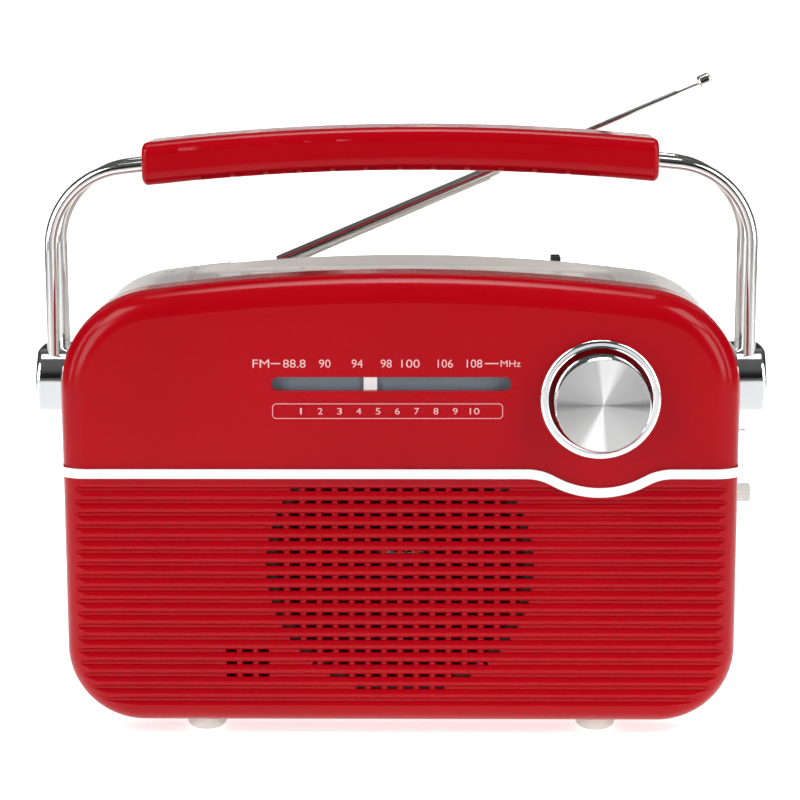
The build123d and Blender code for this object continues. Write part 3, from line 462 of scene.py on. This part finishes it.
def make_floor():
    """Pale round floor, flat under the radio and curving up far away on every side."""
    profile = [(0.0, 0.0), (0.5, 0.0), (2.0, 0.0), (FLOOR_FLAT_RADIUS, 0.0)]
    for step in range(1, 9):
        angle = math.radians(step * 10)
        radius = FLOOR_FLAT_RADIUS + FLOOR_CURVE_RADIUS * math.sin(angle)
        profile.append((radius, FLOOR_CURVE_RADIUS - FLOOR_CURVE_RADIUS * math.cos(angle)))
    sides = 72
    bm = bmesh.new()
    centre = bm.verts.new((0, 0, 0))
    rings = []
    for radius, height in profile[1:]:
        ring = []
        for i in range(sides):
            angle = 2 * math.pi * i / sides
            ring.append(bm.verts.new((radius * math.cos(angle), radius * math.sin(angle), height)))
        rings.append(ring)
    for i in range(sides):
        j = (i + 1) % sides
        bm.faces.new((centre, rings[0][i], rings[0][j]))
        for inner, outer in zip(rings, rings[1:]):
            bm.faces.new((inner[i], outer[i], outer[j], inner[j]))
    mesh = bpy.data.meshes.new("floor")
    bm.to_mesh(mesh)
    bm.free()
    for face in mesh.polygons:
        face.use_smooth = True
    floor = mesh_object("floor", mesh)
    shader = Shader("floor", (0.93, 0.93, 0.93), 0.8)
    shader.set("Specular IOR Level", 0.1)
    shader.color(shader.ramp(shader.noise(3.0, 2.0), [(0.3, (0.92, 0.92, 0.92)), (0.7, (0.94, 0.94, 0.94))]))
    # Painted light: the floor glows a little round the radio and behind it, a pool of light painted in as
    # emission
    painted_light_pool = shader.node("ShaderNodeTexGradient", gradient_type="SPHERICAL")
    around = shader.mapped(
        scale=(1 / GLOW_RADIUS, 1 / GLOW_RADIUS, 1), location=(0, -GLOW_BEHIND / GLOW_RADIUS, 0)
    )
    shader.link(around, painted_light_pool.inputs["Vector"])
    shader.set("Emission Color", (1, 1, 1, 1))
    glow = shader.spread(painted_light_pool.outputs["Fac"], 0.0, 0.6, 0.05, 0.5)
    shader.link(glow, shader.bsdf.inputs["Emission Strength"])
    floor.data.materials.append(shader.material)


def area_light(name, place, target, width, height, power, spread=180):
    data = bpy.data.lights.new(name, "AREA")
    data.shape = "RECTANGLE"
    data.size, data.size_y = width, height
    data.energy = power
    data.spread = math.radians(spread)
    light = bpy.data.objects.new(name, data)
    bpy.context.collection.objects.link(light)
    light.location = place
    light.rotation_mode = "QUATERNION"
    light.rotation_quaternion = (Vector(target) - Vector(place)).to_track_quat("-Z", "Y")


def grey_ramp(tree, stops):
    ramp = tree.nodes.new("ShaderNodeValToRGB")
    elements = ramp.color_ramp.elements
    while len(elements) < len(stops):
        elements.new(0.5)
    for element, (position, value) in zip(elements, stops):
        element.position = position
        element.color = (value, value, value, 1)
    return ramp


def make_light():
    """World and soft boxes. The world is bright up to the horizon, dark just above it and grey
    overhead, and it is dimmer on every side but straight behind."""
    world = bpy.data.worlds.new("studio")
    bpy.context.scene.world = world
    world.use_nodes = True
    tree = world.node_tree
    background = tree.nodes["Background"]
    coords = tree.nodes.new("ShaderNodeTexCoord")
    split = tree.nodes.new("ShaderNodeSeparateXYZ")
    tree.links.new(coords.outputs["Generated"], split.inputs["Vector"])
    by_height = grey_ramp(tree, [(0.0, 1.0), (0.03, 1.0), (0.07, 0.03), (0.35, 0.05), (0.6, 0.3), (1.0, 0.4)])
    tree.links.new(split.outputs["Z"], by_height.inputs["Fac"])
    shift = tree.nodes.new("ShaderNodeMapRange")
    shift.inputs["From Min"].default_value = -1.0
    shift.inputs["From Max"].default_value = 1.0
    tree.links.new(split.outputs["Y"], shift.inputs["Value"])
    by_side = grey_ramp(tree, [(0.0, 0.3), (0.8, 0.3), (0.93, 1.0), (1.0, 1.0)])
    tree.links.new(shift.outputs["Result"], by_side.inputs["Fac"])
    product = tree.nodes.new("ShaderNodeVectorMath")
    product.operation = "MULTIPLY"
    tree.links.new(by_height.outputs["Color"], product.inputs[0])
    tree.links.new(by_side.outputs["Color"], product.inputs[1])
    tree.links.new(product.outputs["Vector"], background.inputs["Color"])
    background.inputs["Strength"].default_value = 0.95
    area_light("key_left", (-1.3, -1.4, 0.55), LIGHT_TARGET, 0.7, 0.9, 13)
    area_light("key_right", (1.4, -1.3, 0.5), LIGHT_TARGET, 0.6, 0.9, 12)
    area_light("strip_left", (-1.2, -0.3, 0.5), LIGHT_TARGET, 0.25, 0.9, 3)
    area_light("strip_right", (1.2, -0.3, 0.5), LIGHT_TARGET, 0.25, 0.9, 3)
    for side in (-1, 1):
        name = "shoulder_right" if side > 0 else "shoulder_left"
        area_light(name, (side * 0.95, -0.75, 1.15), (0, 0, 0.15), 0.6, 0.6, 9)
    area_light("top", (0, 0.5, 1.8), (0, 0.45, 0.0), 1.0, 1.2, 2.5, spread=40)
    area_light("backdrop", (0, 2.3, 2.2), (0, 2.3, 0.0), 1.5, 3.4, 26, spread=44)
    area_light("backdrop_far", (0, 3.4, 1.2), (0, 4.5, 0.25), 1.9, 0.8, 20, spread=140)


make_floor()
make_light()
make_camera()
bpy.context.scene.view_settings.view_transform = "Standard"
